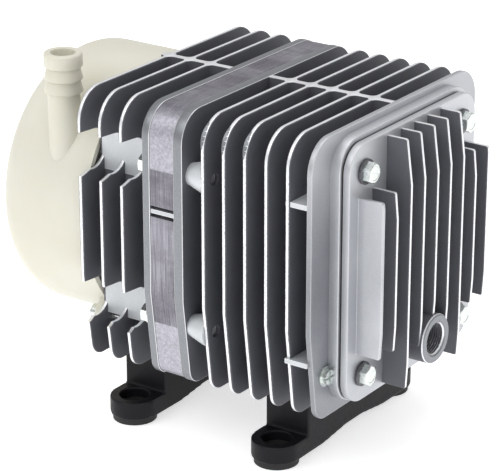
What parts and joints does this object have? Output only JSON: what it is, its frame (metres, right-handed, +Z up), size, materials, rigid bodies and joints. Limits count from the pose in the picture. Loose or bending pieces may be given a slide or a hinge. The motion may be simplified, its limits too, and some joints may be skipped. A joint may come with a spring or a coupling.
{
  "type": "linear piston air pump",
  "caption": "Finned linear free-piston air pump with a round plastic intake tank and hose nozzle, a finned discharge head with a threaded port, and mounting bars with rubber feet.",
  "frame": {"origin": "on the floor, at the centre of the four mounting holes", "axes": "+X along the piston axis towards the discharge head, +Z up"},
  "size_m": [0.2422, 0.164, 0.203],
  "materials": {
    "cast_aluminium": "cast, dark coated fin faces with bare edges",
    "lamination_steel": "ground lamination edges",
    "zinc_steel": "zinc plated",
    "bobbin_plastic": "moulded",
    "copper_wire": "enamelled wire",
    "black_plastic": "moulded",
    "machined_steel": "machined",
    "magnet": "sintered, nickel plated",
    "machined_aluminium": "machined",
    "black_rubber": "moulded",
    "bronze": "sintered",
    "felt": "pressed felt",
    "cream_plastic": "satin moulding",
    "black_casting": "black, satin"
  },
  "bodies": {
    "pump": {"rear_casting": "cast_aluminium", "stator_core": "lamination_steel", "stator_keys": "zinc_steel", "front_casting": "cast_aluminium", "through_bolts": "zinc_steel", "through_bolt_washers": "zinc_steel", "upper_coil_bobbin": "bobbin_plastic", "lower_coil_bobbin": "bobbin_plastic", "upper_coil_winding": "copper_wire", "lower_coil_winding": "copper_wire", "terminal_block": "bobbin_plastic", "cord_gland": "black_plastic", "return_spring": "machined_steel", "cylinder_liner": "machined_aluminium", "valve_plate": "machined_aluminium", "valve_plate_seal": "black_rubber", "discharge_spring": "machined_steel", "valve_stop": "machined_steel", "head_gasket": "black_rubber", "head_cover": "cast_aluminium", "head_bolts": "zinc_steel", "head_washers": "zinc_steel", "earth_screw": "zinc_steel", "rear_bush": "bronze", "tank_gasket": "black_rubber", "filter_felt": "felt", "filter_retainer": "machined_steel", "filter_tank": "cream_plastic", "tank_screws": "zinc_steel", "rear_foot": "black_casting", "front_foot": "black_casting", "rear_cups": "black_casting", "front_cups": "black_casting", "foot_pads_rubber": "black_rubber", "foot_screws": "zinc_steel"},
    "piston_assembly": {"armature_core": "machined_steel", "armature_magnets": "magnet", "spring_seat": "machined_steel", "piston_rod": "machined_steel", "piston": "machined_aluminium", "piston_rings": "black_plastic", "valve_guard": "machined_steel"},
    "suction_disc": {"suction_valve": "machined_steel"},
    "discharge_disc": {"discharge_valve": "machined_steel"}
  },
  "joints": [
    {"name": "piston_slide", "type": "slide", "parent": "pump", "child": "piston_assembly", "axis": [1, 0, 0], "range_m": [-0.0055, 0.0055], "stiffness_N_per_m": 9000, "deforming": ["return_spring"]},
    {"name": "suction_valve_lift", "type": "slide", "parent": "piston_assembly", "child": "suction_disc", "axis": [1, 0, 0], "range_m": [0, 0.0011], "stiffness_N_per_m": 300},
    {"name": "discharge_valve_lift", "type": "slide", "parent": "pump", "child": "discharge_disc", "axis": [1, 0, 0], "range_m": [0, 0.0015], "stiffness_N_per_m": 400, "deforming": ["discharge_spring"]}
  ]
}
